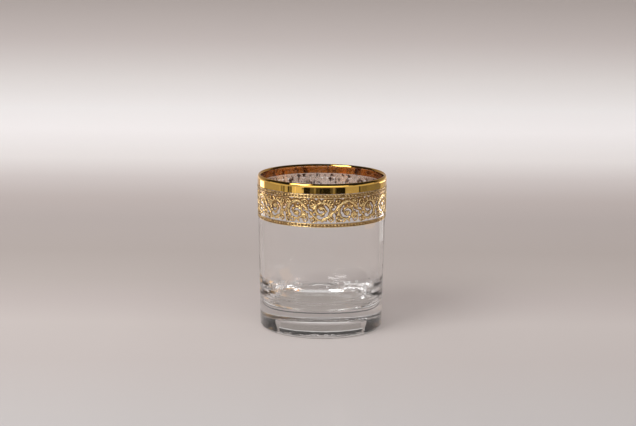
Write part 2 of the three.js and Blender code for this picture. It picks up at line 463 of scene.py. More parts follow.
class Graph:
    """A material's node graph, with short calls that add nodes and join them up."""

    def __init__(self, name: str) -> None:
        """Starts a material with a Principled shader.

        Args:
            name: The material's name.
        """
        self.material = bpy.data.materials.new(name)
        self.material.use_nodes = True
        self.tree = self.material.node_tree
        self.shader = self.tree.nodes["Principled BSDF"]

    def add(self, kind: str, inputs: dict | None = None, **settings: object) -> bpy.types.Node:
        """Adds a node.

        Args:
            kind: The node's type.
            inputs: Values for its input sockets, by name or number. A socket is linked instead.
            **settings: Values for the node's own properties.

        Returns:
            The node.
        """
        node = self.tree.nodes.new(kind)
        for name, value in settings.items():
            setattr(node, name, value)
        self.fill(node, inputs or {})
        return node

    def fill(self, node: bpy.types.Node, inputs: dict) -> None:
        """Sets or links a node's input sockets.

        Args:
            node: The node.
            inputs: Values by the socket's name or number. A socket is linked instead.
        """
        for key, value in inputs.items():
            if isinstance(value, Socket):
                self.tree.links.new(value, node.inputs[key])
            else:
                node.inputs[key].default_value = value

    def place(self, stretch: Point = (1.0, 1.0, 1.0)) -> Socket:
        """Object coordinates, stretched along each axis."""
        where = self.add("ShaderNodeTexCoord").outputs["Object"]
        return self.add("ShaderNodeMapping", {"Vector": where, "Scale": stretch}).outputs[0]

    def noise(self, grain: float, detail: float = 3.0, stretch: Point = (1.0, 1.0, 1.0)) -> Socket:
        """Noise whose patches are about `grain` metres across, from 0 to 1."""
        inputs = {"Vector": self.place(stretch), "Scale": 1 / grain, "Detail": detail}
        return self.add("ShaderNodeTexNoise", inputs).outputs["Fac"]

    def crest(self) -> Socket:
        """The piece's own crest: 0 on the seat, 1 on the highest line."""
        return self.add("ShaderNodeAttribute", attribute_name="crest").outputs["Fac"]

    def ramp(self, value: Socket, stops: list[tuple[float, Colour]]) -> Socket:
        """Colours along a value.

        Args:
            value: The value, from 0 to 1.
            stops: Places along it with their colours.

        Returns:
            The colour.
        """
        node = self.add("ShaderNodeValToRGB", {"Fac": value})
        elements = node.color_ramp.elements
        while len(elements) < len(stops):
            elements.new(1.0)
        for element, (position, colour) in zip(elements, stops):
            element.position = position
            element.color = (*colour, 1.0)
        return node.outputs["Color"]

    def grey_ramp(self, value: Socket, *stops: Span) -> Socket:
        """Greys along a value, from stops of place and tone."""
        return self.ramp(value, [(position, (tone, tone, tone)) for position, tone in stops])

    def spread(self, value: Socket, ends: Span, source: Span = (0.0, 1.0)) -> Socket:
        """A value within a source range, spread evenly between two ends."""
        inputs = {"Value": value, "From Min": source[0], "From Max": source[1]}
        return self.add("ShaderNodeMapRange", {**inputs, "To Min": ends[0], "To Max": ends[1]}).outputs[0]

    def combine(self, operation: str, *values: Socket) -> Socket:
        """A mathematical operation on one or more values."""
        return self.add("ShaderNodeMath", dict(enumerate(values)), operation=operation).outputs[0]

    def mix(self, share: object, first: object, second: object) -> Socket:
        """A mix of two colours.

        Args:
            share: The second colour's share.
            first: A colour or a socket.
            second: A colour or a socket.

        Returns:
            The mixed colour.
        """
        node = self.add("ShaderNodeMix", data_type="RGBA")
        colours = [(*c, 1.0) if isinstance(c, tuple) else c for c in (first, second)]
        # A mix of colours has them at sockets 6 and 7, and the result at 2.
        self.fill(node, {0: share, 6: colours[0], 7: colours[1]})
        return node.outputs[2]

    def bump(self, height: Socket, depth: float, strength: float, under: Socket | None = None) -> Socket:
        """A normal bent by a height.

        Args:
            height: The height, from 0 to 1.
            depth: What a height of 1 stands for, in metres.
            strength: How much the normal is bent.
            under: A bent normal that lies under it.

        Returns:
            The bent normal.
        """
        inputs = {"Height": height, "Distance": depth, "Strength": strength}
        if under:
            inputs["Normal"] = under
        return self.add("ShaderNodeBump", inputs).outputs["Normal"]

    def finish(self, inputs: dict) -> Material:
        """Fills the shader's sockets and returns the material."""
        self.fill(self.shader, inputs)
        return self.material


@dataclass(frozen=True)
class ClearGlass:
    """Fire-polished clear glass with a faint ripple left by the mould."""

    colour: Colour = (0.992, 0.991, 0.990)
    index: float = 1.52
    ripple_grain: float = 9 * MM
    ripple_depth: float = 0.02 * MM

    def material(self) -> Material:
        """Makes the glass: clear right through, its normal bent by a slow noise.

        Returns:
            The material.
        """
        graph = Graph("clear_glass")
        ripple = graph.noise(self.ripple_grain, detail=1.0)
        return graph.finish({
            "Base Color": (*self.colour, 1.0),
            "Roughness": 0.0,
            "IOR": self.index,
            "Transmission Weight": 1.0,
            "Normal": graph.bump(ripple, self.ripple_depth, strength=1.0),
        })


@dataclass(frozen=True)
class BrightGold:
    """Burnished gold with fine lines round the band and a little wear on the lip."""

    colour: Colour = (0.97, 0.59, 0.14)
    worn_colour: Colour = (0.80, 0.47, 0.12)
    wear_grain: float = 7 * MM
    wear_range: Span = (0.50, 0.75)
    line_grain: float = 6 * MM
    line_stretch: Point = (1.0, 1.0, 40.0)
    line_depth: float = 0.0006 * MM
    roughness: Span = (0.015, 0.06)

    def material(self) -> Material:
        """Makes the gold: a mirror whose fine lines are noise drawn out round the band.

        Returns:
            The material.
        """
        graph = Graph("bright_gold")
        lines = graph.noise(self.line_grain, 4.0, self.line_stretch)
        wear = graph.grey_ramp(graph.noise(self.wear_grain), *zip(self.wear_range, (0.0, 1.0)))
        return graph.finish({
            "Base Color": graph.mix(wear, self.colour, self.worn_colour),
            "Metallic": 1.0,
            "Roughness": graph.spread(lines, self.roughness),
            "Normal": graph.bump(lines, self.line_depth, strength=0.5),
        })


@dataclass(frozen=True)
class ReliefGold:
    """Satin gold over raised paste, with painted shade in the hollows and painted highlights on the crests.

    The four tones, from painted shade to painted highlight, have their places along the crest. The
    polish and the stains are stops of a place and a roughness or a share.
    """

    # Painted shade and highlight: the tones run from the shaded hollow up to the lit crest. The hollow's
    # colour also colours the dark stains.
    hollow_shade_and_stain: Colour = (0.10, 0.04, 0.012)
    ground: Colour = (0.37, 0.20, 0.055)
    shaded_flank: Colour = (0.86, 0.53, 0.18)
    crest: Colour = (1.00, 0.79, 0.40)
    shading_places: tuple[float, ...] = (0.12, 0.36, 0.50, 0.78)
    blush: Colour = (0.94, 0.58, 0.26)
    blush_grain: float = 2.5 * MM
    blush_share: Span = (0.0, 0.4)
    polish: tuple[Span, ...] = ((0.2, 0.30), (0.9, 0.10))
    stain_grain: float = 1.1 * MM
    stains: tuple[Span, ...] = ((0.34, 0.75), (0.47, 0.0))
    lump_grain: float = 0.8 * MM
    lump_depth: float = 0.09 * MM
    fine_grain: float = 0.25 * MM
    fine_depth: float = 0.03 * MM

    def material(self) -> Material:
        """Makes the gold: painted shade and highlight follow the crest, under patches of blush and dark
        stains.

        Returns:
            The material.
        """
        graph = Graph("relief_gold")
        height = graph.crest()
        tones = (self.hollow_shade_and_stain, self.ground, self.shaded_flank, self.crest)
        # The crest paints light: shade where it is low, a highlight where it is high.
        tone = graph.ramp(height, list(zip(self.shading_places, tones)))
        blush = graph.spread(graph.noise(self.blush_grain), self.blush_share)
        stains = graph.grey_ramp(graph.noise(self.stain_grain), *self.stains)
        lumps = graph.bump(graph.noise(self.lump_grain, detail=2.0), self.lump_depth, strength=0.8)
        grain = graph.noise(self.fine_grain, detail=4.0)
        return graph.finish({
            "Base Color": graph.mix(stains, graph.mix(blush, tone, self.blush), self.hollow_shade_and_stain),
            "Metallic": 1.0,
            "Roughness": graph.grey_ramp(height, *self.polish),
            "Normal": graph.bump(grain, self.fine_depth, 0.6, lumps),
        })


@dataclass(frozen=True)
class FilmBack:
    """The back of a gold film, seen through the glass that it is fused to."""

    name: str
    colour: Colour
    streak_colour: Colour
    roughness: Span
    streak_grain: float
    streak_stretch: Point = (1.0, 1.0, 0.8)
    streak_range: Span = (0.36, 0.485)

    def material(self) -> Material:
        """Makes the back: two tones broken up by noise.

        Returns:
            The material.
        """
        graph = Graph(self.name)
        streaks = graph.noise(self.streak_grain, 4.0, self.streak_stretch)
        share = graph.grey_ramp(streaks, *zip(self.streak_range, (0.0, 1.0)))
        return graph.finish({
            "Base Color": graph.mix(share, self.colour, self.streak_colour),
            "Metallic": 1.0,
            "Roughness": graph.spread(streaks, self.roughness),
        })


BRIGHT_BACK = FilmBack("bright_gold_back", (0.10, 0.022, 0.006), (0.62, 0.245, 0.052), (0.049, 0.091), 4 * MM)
RELIEF_BACK = FilmBack("relief_gold_back", (0.10, 0.035, 0.018), (1.0, 0.89, 0.81), (0.14, 0.26), 2.2 * MM)


@dataclass(frozen=True)
class Finishes:
    """The materials that the pieces wear: the glass, and each gold with its back."""

    glass: Material
    bright_gold: list[Material]
    relief_gold: list[Material]

    @classmethod
    def made(cls) -> Finishes:
        """Makes every material once."""
        return cls(
            glass=ClearGlass().material(),
            bright_gold=[BrightGold().material(), BRIGHT_BACK.material()],
            relief_gold=[ReliefGold().material(), RELIEF_BACK.material()],
        )


# The tumbler


@dataclass(frozen=True)
class Wall:
    """The tumbler's wall: an even draft outside and an even thickening inside."""

    height: float
    rim_radius: float
    draft: float = 1.7 * MM
    lip_wall: float = 1.9 * MM
    floor_wall: float = 2.4 * MM
    base_thickness: float = 14 * MM
    lip_rise: float = 1.9 * MM

    @classmethod
    def from_frame(cls) -> Wall:
        """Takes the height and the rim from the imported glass."""
        low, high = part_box("glass_tumbler")
        return cls(height=high.z - low.z, rim_radius=(high.x - low.x) / 2)

    def outer(self, height: np.ndarray | float) -> np.ndarray | float:
        """Radius of the outer face at a height."""
        return self.rim_radius - self.draft * (1 - height / self.height)

    def inner(self, height: np.ndarray | float) -> np.ndarray | float:
        """Radius of the inner face at a height."""
        depth = (self.height - height) / (self.height - self.base_thickness)
        return self.outer(height) - self.lip_wall - (self.floor_wall - self.lip_wall) * depth

    def lip(self, stand_off: float, start: float, stop: float, count: int) -> np.ndarray:
        """The half ellipse that rounds the lip, at a distance from the glass.

        Args:
            stand_off: The distance from the glass.
            start: The first angle in degrees, 0 outwards and 90 up.
            stop: The last angle in degrees.
            count: The number of points.

        Returns:
            Radius and height, one point a row.
        """
        half, height = self.lip_wall / 2, self.height - self.lip_rise
        radii = (half + stand_off, self.lip_rise + stand_off)
        return arc((self.outer(height) - half, height), radii, start, stop, count)

    def wrapped(self, flat: np.ndarray, middle: float, angle: float, turn: float) -> np.ndarray:
        """Lays flat points round the outer face.

        The first coordinate goes round the wall, at its length on the circle of the middle height.
        The second goes up from that height and the third stands out from the glass.

        Args:
            flat: Flat points, three coordinates a row.
            middle: The height that the flat origin goes to.
            angle: The angle round the axis that the flat origin goes to, 0 towards -Y.
            turn: 1 to lay the points as they are, -1 to turn them upside down by half a turn.

        Returns:
            The points in place.
        """
        height = middle + turn * flat[:, 1]
        around = angle + turn * flat[:, 0] / self.outer(middle)
        return round_axis(self.outer(height) + flat[:, 2], around, height)


@dataclass
class GlassBody:
    """The tumbler's one piece of glass: punt, foot ring, heel, wall, lip and rounded floor.

    The waves are sums of sines round the axis, each of a share, the times that it comes round and a
    phase. A broad wave also has the speed at which its phase runs along the section.
    """

    wall: Wall
    heel_radius: float = 1.6 * MM
    floor_corner: Span = (12.5 * MM, 18 * MM)
    floor_end_share: float = 0.03
    foot_ring_width: float = 6.5 * MM
    punt_depth: float = 1.2 * MM
    ripple_depth: float = 0.06 * MM
    ripple_length: float = 2.1 * MM
    ripple_top: float = 50 * MM
    ripple_fade: float = 1.5
    ripple_share: float = 0.5
    ripple_bend: tuple[Wave, ...] = ((1.1, 2, 0.6), (0.8, 3, -1.2), (0.35, 7, 0.0))
    broad_waves: tuple[tuple[float, int, float, float], ...] = ((1.0, 3, 0.0, 1.9), (0.8, 5, 2.0, -1.3))
    calm_radius: float = 18 * MM
    ring_radius: float = 28 * MM
    ring_spread: float = 5 * MM
    ring_share: float = 1.6
    ring_bend: tuple[Wave, ...] = ((0.4, 2, 0.0),)
    foot_depth: float = 0.03 * MM
    foot_waves: tuple[Wave, ...] = ((1.0, 17, 0.7), (1.0, 29, 2.1), (0.7, 43, 0.0))
    foot_wave_step: float = 0.9 * MM
    foot_wave_radius: float = 29 * MM
    foot_wave_spread: float = 5 * MM

    def outside(self) -> np.ndarray:
        """The section from the middle of the punt out, round the heel and up to the lip.

        The punt is a parabola that meets the foot ring. The heel and the lip are arcs.

        Returns:
            Radius and height, one point a row.
        """
        heel_middle = self.wall.outer(self.heel_radius) - self.heel_radius
        punt_radius = heel_middle - self.foot_ring_width
        share = np.linspace(0, 1, 26)[1:]
        punt = np.stack([punt_radius * share, self.punt_depth * (1 - share**2)], axis=-1)
        heel = arc((heel_middle, self.heel_radius), (self.heel_radius, self.heel_radius), -90, 0, 14)
        lip = self.wall.lip(0.0, 0, 90, 14)
        return np.concatenate([punt, line(punt[-1], heel[0], 4), heel, line(heel[-1], lip[0], 30), lip])

    def inside(self) -> np.ndarray:
        """The section from the lip down the wall and round the corner to near the middle of the floor.

        Returns:
            Radius and height, one point a row.
        """
        wall = self.wall
        lip = wall.lip(0.0, 90, 180, 14)[1:]
        corner_height = wall.base_thickness + self.floor_corner[1]
        corner_middle = (wall.inner(corner_height) - self.floor_corner[0], corner_height)
        corner = arc(corner_middle, self.floor_corner, 0, -90, 40)
        end = (self.floor_end_share * corner_middle[0], wall.base_thickness)
        return np.concatenate([lip, line(lip[-1], corner[0], 60), corner, line(corner[-1], end, 36), [end]])

    def ripple(self, section: np.ndarray) -> np.ndarray:
        """The faint waves that the mould left on the inside, as distances along the section's normal.

        Rings of one wave length run round the inside, bent by slow waves round the axis, and broad
        waves lie under them. They fade out up the wall and towards the middle of the floor. Even rings
        lie over them where the floor starts to rise, strongest at the ring radius as a bell curve.

        Args:
            section: The inside's section, radius and height.

        Returns:
            Distances, section points by columns.
        """
        angle = -full_turn(COLUMNS)
        radius, height = section[:, :1], section[:, 1:]
        steps = np.linalg.norm(np.diff(section, axis=0, prepend=section[:1]), axis=1)
        run = np.cumsum(steps)[:, None] / self.ripple_length
        rings = np.sin(2 * np.pi * run + waves(angle, self.ripple_bend))
        broad = waves(angle, tuple((share, count, phase + speed * run)
                                   for share, count, phase, speed in self.broad_waves))
        fade = np.clip((self.ripple_top - height) / self.ripple_top, 0, 1) ** self.ripple_fade
        off_axis = np.clip(radius / self.calm_radius, 0, 1) ** 2
        even = np.sin(2 * np.pi * run + waves(angle, self.ring_bend)) * (height < self.ripple_top)
        even = even * bell(radius, self.ring_radius, self.ring_spread)
        bent = self.ripple_share * (rings + broad) * fade * off_axis
        return self.ripple_depth * (bent + self.ring_share * even)

    def foot_ripple(self, section: np.ndarray) -> np.ndarray:
        """The small waves that fire-polishing left round the foot, as distances along the normal.

        Three sines of the angle times one slow sine along the section, lifted by their greatest sum so
        that none falls below the table, and faded as a bell curve away from the foot ring's inner edge.

        Args:
            section: The outside's section, radius and height.

        Returns:
            Distances, section points by columns.
        """
        radius, height = section[:, :1], section[:, 1:]
        greatest = sum(share for share, _, _ in self.foot_waves)
        around = waves(-full_turn(COLUMNS), self.foot_waves)
        wave = greatest + around * np.sin(radius / self.foot_wave_step)
        low = height < self.punt_depth + self.heel_radius
        return self.foot_depth * wave * bell(radius, self.foot_wave_radius, self.foot_wave_spread) * low

    def rippled(self, section: np.ndarray, wave: np.ndarray) -> np.ndarray:
        """A section turned round the axis, with each point moved along its normal by a wave."""
        along = directions(section)
        return turned(section) + round_axis(-along[:, 1:] * wave, -full_turn(COLUMNS), along[:, :1] * wave)

    def build(self, finishes: Finishes) -> Object:
        """Makes the glass in the place of its node.

        Args:
            finishes: The materials.

        Returns:
            The glass.
        """
        inside, outside = self.inside(), self.outside()
        rings = np.concatenate([
            self.rippled(outside, self.foot_ripple(outside)), self.rippled(inside, self.ripple(inside)),
        ])
        first = np.array([0, 0, self.punt_depth])
        last = np.array([0, 0, self.wall.base_thickness])
        surface = poled_shell(rings, first, last, np.ones(rings.shape[:2]))
        return add_piece("tumbler_glass", surface, [finishes.glass], "glass_tumbler")


@dataclass
class RimBand:
    """The polished gold film up the outside of the wall, over the lip and a little way in."""

    wall: Wall
    band_height: float = 5.55 * MM
    inside_drop: float = 0.9 * MM
    bevel_share: float = 0.4

    def build(self, finishes: Finishes) -> Object:
        """Makes the band: its outer face up and over the lip, then back along its seat on the glass.

        Args:
            finishes: The materials.

        Returns:
            The band.
        """
        wall, seat, face = self.wall, -Gold.SEAT_DEPTH, Gold.FILM
        bevel = self.bevel_share * face
        bottom = wall.height - self.band_height
        inside_end = 180 - math.degrees(math.asin(1 - self.inside_drop / wall.lip_rise))
        outside = wall.outer(bottom) + face
        edge = [(outside - bevel, bottom), (outside, bottom + bevel), (outside, bottom + face - bevel)]
        seat_end = (wall.outer(bottom) + seat, bottom)
        lip_out = wall.lip(face, 0, inside_end, 32)
        lip_in = wall.lip(seat, inside_end, 0, 32)
        shown = np.concatenate([edge, line(edge[-1], lip_out[0], 10), lip_out])
        hidden = np.concatenate([lip_in, line(lip_in[-1], seat_end, 10), [seat_end]])
        crest = np.repeat([1.0, 0.0], [len(shown), len(hidden)])
        surface = hoop(np.concatenate([shown, hidden]), crest)
        return add_piece("rim_band", surface, finishes.bright_gold, "gold_rim_band")


class Edge(Enum):
    """The two borders of the frieze, each with the name of its node."""

    UPPER = "frieze_upper_border"
    LOWER = "frieze_lower_border"


@dataclass
class Border:
    """Two raised lines round the glass with a row of beads between them.

    The bead's rings are shares of its outline and of the relief's height, from the top down.
    """

    wall: Wall
    edge: Edge
    line_height: float = 0.62 * MM
    line_edge_lift: float = 0.25
    channel_shade: float = 0.5
    bead_half_long: float = 0.74 * MM
    bead_half_high: float = 0.40 * MM
    bead_rings: tuple[Span, ...] = ((0.55, 0.95), (0.9, 0.5))
    bead_pitch: float = 2.0 * MM

    def ring(self, heights: np.ndarray, lifts: np.ndarray, crest: np.ndarray) -> Surface:
        """A closed section turned round the axis, from its heights and its lifts off the glass."""
        return hoop(np.stack([self.wall.outer(heights) + lifts, heights], axis=-1), crest)

    def line(self, bottom: float) -> Surface:
        """One raised line: half a circle squashed to the relief's height, closed along the seat.

        Args:
            bottom: The height of its lower edge.

        Returns:
            The closed line.
        """
        angle = np.radians(np.linspace(-90, 90, 9))
        height = bottom + self.line_height * (0.5 + 0.5 * np.sin(angle))
        lift = Gold.RELIEF * np.maximum(np.cos(angle), self.line_edge_lift)
        lifts = np.append(lift, [-Gold.SEAT_DEPTH, -Gold.SEAT_DEPTH])
        return self.ring(np.append(height, height[[-1, 0]]), lifts, np.maximum(lifts / Gold.RELIEF, 0))

    def channel(self, bottom: float, top: float) -> Surface:
        """The thin film between the two lines, with painted shade from its low crest.

        Args:
            bottom: The height of its lower edge.
            top: The height of its upper edge.

        Returns:
            The closed film.
        """
        lifts = np.array([-Gold.SEAT_DEPTH, Gold.GROUND, Gold.GROUND, -Gold.SEAT_DEPTH])
        # Painted shade: the channel's crest, and so its tone, is held low.
        crest = np.where(lifts > 0, self.channel_shade * Gold.GROUND_CREST, 0.0)
        return self.ring(np.array([bottom, bottom, top, top]), lifts, crest)

    def beads(self, middle: float) -> Surface:
        """The row of oval beads, laid round the wall at an even pitch.

        Args:
            middle: The height of the row.

        Returns:
            All the beads.
        """
        bead = dome(ellipse(self.bead_half_long, self.bead_half_high, full_turn(10)), self.bead_rings)
        length = 2 * np.pi * self.wall.outer(middle)
        count = round(length / self.bead_pitch)
        row = bead.stamped(np.stack([np.arange(count) * length / count, np.zeros(count)], axis=-1))
        return row.moved(self.wall.wrapped(row.points, middle, 0.0, 1.0))

    def build(self, finishes: Finishes) -> Object:
        """Makes the border in the place of its node.

        Args:
            finishes: The materials.

        Returns:
            The border.
        """
        low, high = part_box(self.edge.value)
        bottom, top = low.z, high.z - self.line_height
        surface = Surface.joined([
            self.line(bottom), self.line(top), self.channel(bottom + self.line_height, top),
            self.beads((low.z + high.z) / 2),
        ])
        name = self.edge.name.lower() + "_border"
        return add_piece(name, surface, finishes.relief_gold, self.edge.value)


@dataclass(frozen=True)
class LeafRow:
    """A row of leaflets along a stroke.

    Attributes:
        first, last, count: Where along the stroke the leaflets grow, as shares of its length.
        side: 1 for the left of the stroke, -1 for the right.
        longest, shortest: The length of the first and of the last leaflet.
        lean: The angle between a leaflet and its stroke, in degrees.
    """

    first: float
    last: float
    count: int
    side: int
    longest: float
    shortest: float
    lean: float = 38.0


@dataclass(frozen=True)
class Curl:
    """A small tendril that winds clockwise into a corner of the cell.

    Attributes:
        middle: The point that it winds round, as shares of half the cell's width and height.
        radius: Its first radius.
        start: Its first angle in degrees.
        turns: How many times it winds.
    """

    middle: Span
    radius: float
    start: float
    turns: float


@dataclass
class ScrollSpray:
    """One cell of the frieze: a stem, a volute with leaflets, a rosette, corner curls and a dotted ground.

    The layout's shares are of half the cell's width and half its height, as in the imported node. The
    rings of a boss are shares of its outline and of the relief's height, from the top down. The gap is
    the distance to the next spray and to a border, and the turn is 1 for a spray that is laid as it is
    and -1 for one that is laid upside down.
    """

    half_wide: float
    half_high: float
    gap: float
    turn: float
    stem_sag: float = 0.8
    stem_width: float = 1.0 * MM
    stem_ends: Span = (0.03, 0.97)
    stem_ease: float = 0.25
    volute_up: float = 0.08
    volute_radii: Span = (0.84, 0.14)
    volute_start: float = -0.62 * math.pi
    volute_turns: float = 1.6
    volute_widths: Span = (1.2 * MM, 0.65 * MM)
    volute_taper: Span = (0.3, 12.0)
    stroke_groove: float = 0.35
    curl_widths: Span = (0.75 * MM, 0.45 * MM)
    curl_lift: float = 0.85
    curl_end: float = 0.42 * MM
    rosette_radius: float = 1.55 * MM
    petals: int = 6
    petal_depth: float = 0.18
    petal_rings: tuple[Span, ...] = ((0.35, 0.45), (0.62, 0.8), (0.86, 0.75), (1.0, 0.3))
    eye_radius: float = 0.45 * MM
    eye_rings: tuple[Span, ...] = ((0.5, 1.2), (0.85, 1.0), (1.0, 0.4))
    berry_radius: float = 0.55 * MM
    berry_rings: tuple[Span, ...] = ((0.45, 1.1), (0.8, 0.85), (1.0, 0.35))
    dot_radius: float = 0.25 * MM
    dot_rings: tuple[Span, ...] = ((0.7, 0.55),)
    dot_pitch: float = 0.76 * MM
    dot_row_share: float = 0.87
    dot_clearance: float = 0.2 * MM
    ground_step: float = 0.3 * MM
    ground_gap: float = 0.03 * MM
    ground_wave: float = 0.25 * MM
    ground_reach: float = 0.36 * MM
    ground_rise: float = 0.28 * MM
    ground_shade: float = 0.6 * MM
    deepest_ground_shade: float = 0.3
    leaf_width_share: float = 0.46
    leaf_point_share: float = 0.04
    leaf_taper: float = 0.8
    leaf_lifts: Span = (0.55, 0.35)
    leaf_groove: float = 0.5
    leaflet_bend: float = 0.14
    leaflet_room: float = 0.96
    least_leaflet: float = 0.6 * MM
    thin_below: float = 0.1
    lobes: int = 3
    lobe_swell: float = 0.24
    corner_bend: float = 0.1
    curls: tuple[Curl, ...] = (
        Curl((-0.72, -0.72), 1.95 * MM, 35, 1.25),
        Curl((0.72, -0.72), 1.95 * MM, 145, 1.25),
        Curl((-0.69, 0.66), 2.55 * MM, -32, 1.35),
        Curl((0.71, 0.68), 2.05 * MM, 209, 1.3),
    )
    volute_leaves: tuple[LeafRow, ...] = (
        LeafRow(0.03, 0.24, 6, -1, 2.3 * MM, 2.6 * MM),
        LeafRow(0.30, 0.40, 3, -1, 2.4 * MM, 2.4 * MM),
        LeafRow(0.46, 0.62, 5, -1, 2.9 * MM, 2.2 * MM),
        LeafRow(0.66, 0.92, 6, -1, 1.7 * MM, 1.1 * MM, 42.0),
        LeafRow(0.05, 0.56, 14, 1, 2.2 * MM, 1.7 * MM, 42.0),
    )
    stem_leaves: tuple[LeafRow, ...] = (
        LeafRow(0.02, 0.24, 4, 1, 2.6 * MM, 2.2 * MM),
        LeafRow(0.30, 0.72, 7, -1, 2.0 * MM, 2.0 * MM),
        LeafRow(0.78, 0.95, 4, 1, 2.2 * MM, 2.6 * MM),
        LeafRow(0.04, 0.20, 3, -1, 2.0 * MM, 1.8 * MM),
    )
    curl_leaves: tuple[LeafRow, ...] = (
        LeafRow(0.10, 0.66, 7, 1, 1.7 * MM, 1.3 * MM, 40.0),
        LeafRow(0.15, 0.50, 3, -1, 1.2 * MM, 1.0 * MM, 42.0),
    )
    corner_leaves: tuple[tuple[float, float, float, float], ...] = (
        (-0.40, 0.44, -0.98, 0.20),
        (0.66, 0.30, 0.97, 0.30),
        (-0.10, 0.66, -0.30, 0.95),
        (0.10, 0.68, 0.36, 0.95),
    )

    @property
    def half(self) -> np.ndarray:
        """Half the cell's width and half its height."""
        return np.array([self.half_wide, self.half_high])

    def stem(self) -> np.ndarray:
        """The stem's path: half a cosine wave that sags across the cell."""
        across = np.linspace(-1, 1, 44)
        return self.half * np.stack([across, -self.stem_sag * np.cos(np.pi / 2 * across)], axis=-1)

    def volute(self) -> np.ndarray:
        """The volute's path: one big spiral, stretched to the cell."""
        middle = self.half * (0.0, self.volute_up)
        return spiral(middle, self.volute_radii, self.half, self.volute_start, self.volute_turns, 110)

    def curl_path(self, curl: Curl) -> np.ndarray:
        """A corner curl's path: a small round spiral, clockwise."""
        radii = (curl.radius, self.curl_end)
        return spiral(self.half * curl.middle, radii, (1, 1), math.radians(curl.start), -curl.turns, 44)

    def leaf(self, root: np.ndarray, tip: np.ndarray, bend: float, rows: int, lobes: int,
             columns: int) -> Surface:
        """A leaf from root to tip.

        Its middle line is a parabola that bows aside by a share of its length. Its half width is a
        sine of the share along, swelled by one cosine for each lobe, and its height a sine as well.

        Args:
            root: The flat point that it grows from.
            tip: The flat point that it ends in.
            bend: How far it bows to the left, as a share of its length.
            rows: The number of sections along it.
            lobes: The number of lobes along each side, 0 for a plain edge.
            columns: The number of points across its raised face.

        Returns:
            The closed leaf.
        """
        along = tip - root
        length = np.hypot(*along)
        aside = np.array([-along[1], along[0]]) * bend
        share = np.linspace(0, 1, rows + 2)[1:-1]
        path = root + share[:, None] * along + (4 * share * (1 - share))[:, None] * aside
        swell = 1 + self.lobe_swell * np.cos(2 * np.pi * lobes * share) if lobes else 1.0
        half_width = 0.5 * self.leaf_width_share * length * np.sin(np.pi * share**self.leaf_taper) * swell
        height = Gold.RELIEF * (self.leaf_lifts[0] + self.leaf_lifts[1] * np.sin(np.pi * share))
        half_width = np.maximum(half_width, self.leaf_point_share * length)
        return stroke(path, half_width, height, self.leaf_groove, columns)

    def leaf_row(self, path: np.ndarray, row: LeafRow) -> list[Surface]:
        """The leaflets of a row, each shortened where it would cross the edge of the cell.

        Every other one is left out in the lower part of the frieze.

        Args:
            path: The stroke that they grow from.
            row: Where they grow and how long they are.

        Returns:
            The leaflets.
        """
        shares = np.linspace(row.first, row.last, row.count)
        spots = np.round(shares * (len(path) - 1)).astype(int)
        along = np.gradient(path, axis=0)[spots]
        heading = np.arctan2(along[:, 1], along[:, 0]) + row.side * math.radians(row.lean)
        ahead = ellipse(1, 1, heading)
        roots = path[spots]
        room = (self.half - np.sign(ahead) * roots) / np.maximum(np.abs(ahead), Gold.LEAST_SLOPE)
        lengths = np.linspace(row.longest, row.shortest, row.count)
        lengths = np.minimum(lengths, self.leaflet_room * room.min(axis=1))
        tips = roots + ahead * lengths[:, None]
        low = self.turn * roots[:, 1] < self.thin_below * self.half_high
        grown = (lengths > self.least_leaflet) & ~(low & (np.arange(row.count) % 2 == 1))
        bend = -self.leaflet_bend * row.side
        ends = zip(roots[grown], tips[grown])
        return [self.leaf(root, tip, bend, rows=6, lobes=0, columns=5) for root, tip in ends]

    def rosette(self, middle: np.ndarray) -> Surface:
        """A petalled rosette: a boss whose edge swells once for each petal, with a round eye.

        Args:
            middle: The flat place of its middle.

        Returns:
            The closed petals and eye.
        """
        angle = full_turn(36)
        radius = self.rosette_radius * (1 - self.petal_depth + self.petal_depth * np.cos(self.petals * angle))
        petals = dome(ellipse(radius, radius, angle), self.petal_rings)
        eye = dome(ellipse(self.eye_radius, self.eye_radius, full_turn(14)), self.eye_rings)
        return Surface.joined([petals, eye]).stamped(middle[None])

    def berries(self, middles: np.ndarray) -> Surface:
        """A round berry at the end of each curl."""
        outline = ellipse(self.berry_radius, self.berry_radius, full_turn(14))
        return dome(outline, self.berry_rings).stamped(middles)

    def reach(self, up: np.ndarray) -> np.ndarray:
        """How far the ground reaches round the relief at a height: further towards the frieze's top."""
        return self.ground_reach + self.ground_rise * self.turn * up / self.half_high

    def ground(self, taken: np.ndarray) -> Surface:
        """The gold ground: a film all round the relief, open as windows where the relief is far off.

        Its two upright edges are waves that are odd in the height, so that the next spray, which is
        turned upside down, keeps an even distance. It carries painted shade close to the relief.

        Args:
            taken: Flat points all over the relief.

        Returns:
            The ground as a pierced film.
        """
        spare = self.gap - self.ground_gap
        half = self.half + (spare / 2, spare)
        counts = np.round(2 * half / self.ground_step).astype(int) + 1
        u, v = np.meshgrid(np.linspace(-1, 1, counts[0]) * half[0], np.linspace(-1, 1, counts[1]) * half[1])
        u = u * (1 + self.ground_wave / half[0] * np.sin(2 * np.pi * v / half[1]))
        places = np.stack([u, v], axis=-1)
        away = nearest(places.reshape(-1, 2), taken).reshape(u.shape)
        # Painted shade: the ground's crest, and so its tone, falls close to the relief.
        crest = Gold.GROUND_CREST * np.clip(away / self.ground_shade, self.deepest_ground_shade, 1)
        return pierced_film(places, self.reach(v) - away, Gold.GROUND, crest)

